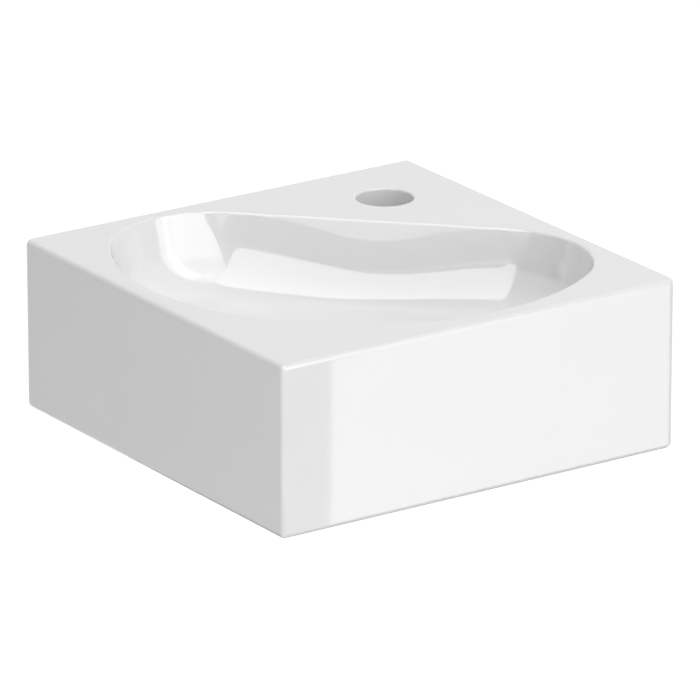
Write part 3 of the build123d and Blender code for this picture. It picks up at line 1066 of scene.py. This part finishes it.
nut_across_flats = 13.0 * MM
nut_inner = -21.1 * MM


def bolts():
    """Hanger bolts: machine thread towards the basin, coarse screw thread and point in the wall."""
    profile = [
        (0, bolt_inner_end),
        (bolt_radius - bolt_end_chamfer, bolt_inner_end),
        *rows(bolt_radius, bolt_inner_end + bolt_end_chamfer, bolt_shoulder, bolt_pitch / ROWS_PER_PITCH),
        *rows(screw_radius, bolt_shoulder, screw_point_start, screw_pitch / (2 * ROWS_PER_PITCH)),
        (0, screw_point),
    ]
    blank = turned("zinc_hanger_bolts", profile, at_origin, around=40, edge=0.2 * MM)
    machine_ends = (bolt_inner_end - bolt_pitch, bolt_shoulder - bolt_pitch)
    screw_ends = (bolt_shoulder, screw_point_start + screw_pitch)
    machine = (bolt_radius, bolt_thread_depth, bolt_pitch, MACHINE_SHARPNESS, *machine_ends)
    screw = (screw_radius, screw_thread_depth, screw_pitch, SCREW_SHARPNESS, *screw_ends)
    return threaded(blank, [machine, screw], zinc, on_walls)


def wall_plug_pair():
    """Nylon wall plugs: barbed behind the mouth, slotted so that they spread, tapered at the tip."""
    barbs = []
    for i in range(barb_count):
        foot = barb_start + i * barb_spacing
        barbs += [(wall_plug_radius, foot), (wall_plug_radius - barb_depth, foot + barb_step)]
    profile = [
        (wall_plug_bore, wall_plug_mouth),
        (wall_plug_radius, wall_plug_mouth),
        *barbs,
        (wall_plug_radius, slot_start),
        (wall_plug_radius, slot_end),
        (wall_plug_radius - wall_plug_taper, wall_plug_end),
        (wall_plug_bore, wall_plug_end),
    ]
    size = (3 * wall_plug_radius, wall_plug_slot, slot_end - slot_start)
    slot = block(size, Vector((0, 0, (slot_start + slot_end) / 2)))
    plugs = turned("plugs", profile, on_walls, around=64, edge=0.25 * MM)
    slots = mesh_object("slots", slot, on_walls)
    return combined("nylon_wall_plugs", plugs, [("DIFFERENCE", slots)])


stand_for("hanger_bolts", bolts())
stand_for("wall_plugs", wall_plug_pair())
# Bushes keep the bolts off the ceramic
stand_for("collar_bushes", stepped_ring(
    "flanged_bushes", bush_bore, (bush_flange_radius, bush_shank_radius),
    (bush_flange_inner, -skirt_thickness, bush_shank_end), on_walls, edge=0.6 * MM, around=72))
stand_for("fixing_washers", flat_ring(
    "zinc_fixing_washers", bush_bore, steel_washer_radius, steel_washer_inner, bush_flange_inner,
    on_walls, edge=0.4 * MM))
stand_for("fixing_nuts", hexagon_nut(
    "zinc_fixing_nuts", nut_across_flats, nut_inner, steel_washer_inner, bolt_radius, on_walls))


# Stage: pale floor at the height below the rim at which such a basin hangs, soft light and the camera

mounting_height = 850 * MM
floor_size = 24.0
floor_glow = 0.62
room_light = 0.46


def seen_directly(tree):
    """Node that gives 1 to the camera, also in a reflection or through glass, and 0 to light that spreads."""
    light_path = add(tree, "ShaderNodeLightPath").outputs
    seen = calculate(tree, "MAXIMUM", light_path["Is Camera Ray"], light_path["Is Glossy Ray"])
    return calculate(tree, "MAXIMUM", seen, light_path["Is Transmission Ray"])


def flat_sheet(name, place, width, tall, material):
    """Flat sheet that faces along the z axis of its place."""
    signs = ((-1, -1), (1, -1), (1, 1), (-1, 1))
    mesh = bpy.data.meshes.new(name)
    mesh.from_pydata([place @ Vector((x * width / 2, y * tall / 2, 0)) for x, y in signs], [], [(0, 1, 2, 3)])
    mesh.materials.append(material)
    return linked(name, mesh)


def pale_floor():
    """White floor that holds the shadow of the object and looks as white as the room."""
    material, tree = shader_tree("pale_floor")
    facing = add(tree, "ShaderNodeNewGeometry")
    paint = add(tree, "ShaderNodeBsdfDiffuse", {"Color": linear("#E6E6E6")})
    glow = calculate(tree, "MULTIPLY", seen_directly(tree), floor_glow)
    lift = add(tree, "ShaderNodeEmission", {"Color": linear("#FFFFFF"), "Strength": glow})
    lifted = add(tree, "ShaderNodeAddShader", {0: paint, 1: lift})
    clear_below = add(tree, "ShaderNodeBsdfTransparent")
    shown = add(tree, "ShaderNodeMixShader", {
        "Fac": facing.outputs["Backfacing"],
        1: lifted,
        2: clear_below,
    })
    add(tree, "ShaderNodeOutputMaterial", {"Surface": shown})
    place = Matrix.Translation((0, 0, rim_height - mounting_height))
    flat_sheet("floor", place, floor_size, floor_size, material)


def towards(bearing, height):
    """Direction from the basin at a bearing and a height, both in degrees."""
    bearing, height = radians(bearing), radians(height)
    return Vector((cos(bearing) * cos(height), sin(bearing) * cos(height), sin(height)))


def dark_flag(name, bearing, height, distance, width, tall):
    """Dark card that faces the basin and shows only in its gloss: a painted dark reflection, so that edges
    stand out.
    """
    material, tree = shader_tree(name)
    painted_dark_reflection = add(tree, "ShaderNodeBsdfDiffuse", {"Color": linear("#303030")})
    add(tree, "ShaderNodeOutputMaterial", {"Surface": painted_dark_reflection})
    outwards = towards(bearing, height)
    flag = flat_sheet(name, place_on(middle + distance * outwards, outwards), width, tall, material)
    for view in ("camera", "diffuse", "transmission", "shadow"):
        setattr(flag, "visible_" + view, False)


def white_room():
    """World that looks white and lights the object softly from all round."""
    world = bpy.data.worlds.new("white_room")
    world.use_nodes = True
    tree = world.node_tree
    tree.nodes.clear()
    dim = add(tree, "ShaderNodeBackground", {"Color": linear("#FFFFFF"), "Strength": room_light})
    white = add(tree, "ShaderNodeBackground", {"Color": linear("#FFFFFF"), "Strength": 1.0})
    mixed = add(tree, "ShaderNodeMixShader", {
        "Fac": seen_directly(tree),
        1: dim,
        2: white,
    })
    add(tree, "ShaderNodeOutputWorld", {"Surface": mixed})
    bpy.context.scene.world = world


def soft_light(name, bearing, height, distance, width, tall, power, upright=False):
    """Softbox at a bearing, height and distance from the basin, turned to face it, or upright."""
    light = bpy.data.lights.new(name, "AREA")
    light.shape = "RECTANGLE"
    light.size = width
    light.size_y = tall
    light.energy = power
    lamp = linked(name, light)
    outwards = towards(bearing, height)
    facing = towards(bearing, 0) if upright else outwards
    lamp.matrix_world = place_on(middle + distance * outwards, facing)
    lamp.visible_camera = False
    return lamp


camera_bearing = -34.15
camera_elevation = 19.2
camera_distance = 4.65
focal_pixels = 7798
image_pixels = 700
sensor_width = 36.0
view_depth = 60.0
aim_height = -45.0 * MM
aim_right = 1.45 * MM
aim_down = 11.9 * MM


def photo_camera():
    """Long-lens camera at the photo's height and bearing, with no shift."""
    back = towards(camera_bearing, camera_elevation)
    right = Z_AXIS.cross(back).normalized()
    up = back.cross(right)
    target = Vector((middle.x, middle.y, aim_height)) + aim_right * right - aim_down * up
    camera = bpy.data.cameras.new("photo_camera")
    camera.sensor_width = sensor_width
    camera.lens = focal_pixels / image_pixels * sensor_width
    camera.clip_end = view_depth
    holder = linked("photo_camera", camera)
    holder.matrix_world = Matrix((right, up, back)).transposed().to_4x4()
    holder.location = target + back * camera_distance
    bpy.context.scene.camera = holder


pale_floor()
white_room()
# Each lamp and flag has its bearing and height as seen from the basin, in degrees, and its distance, width
# and height in metres. Lamps also have their power in watts.
softboxes = {
    "right_softbox": (2, 16, 2.2, 2.0, 1.6, 17.8),
    "left_softbox": (-52, -4, 1.3, 0.7, 0.7, 2.2),
}
top_softbox = (100, 80, 2.0, 1.4, 1.4, 16.6)
# Cards shine in the glaze and light nothing. The last one stands upright.
cards = {
    "right_card": (-2, 33, 2.2, 1.8, 3.6, 52.0),
    "side_card": (28, 35, 2.2, 0.66, 3.96, 24.0),
    "front_card": (-68, 54, 2.2, 1.12, 4.0, 50.4),
    "low_card": (40.9, -17, 1.57, 0.7, 0.66, 3.6, True),
}
# Flags are dark sheets seen only in the glaze and chrome: they paint dark reflections along the edges.
flags = {
    "low_flag": (0, -90, 0.353, 0.84, 0.84),
    "left_flag": (-108, 6, 2.2, 1.96, 1.1),
}
for name, values in softboxes.items():
    soft_light(name, *values)
soft_light("top_softbox", *top_softbox).visible_glossy = False
for name, values in cards.items():
    soft_light(name, *values).visible_diffuse = False
for name, values in flags.items():
    dark_flag(name, *values)
photo_camera()
bpy.context.scene.view_settings.view_transform = "Standard"
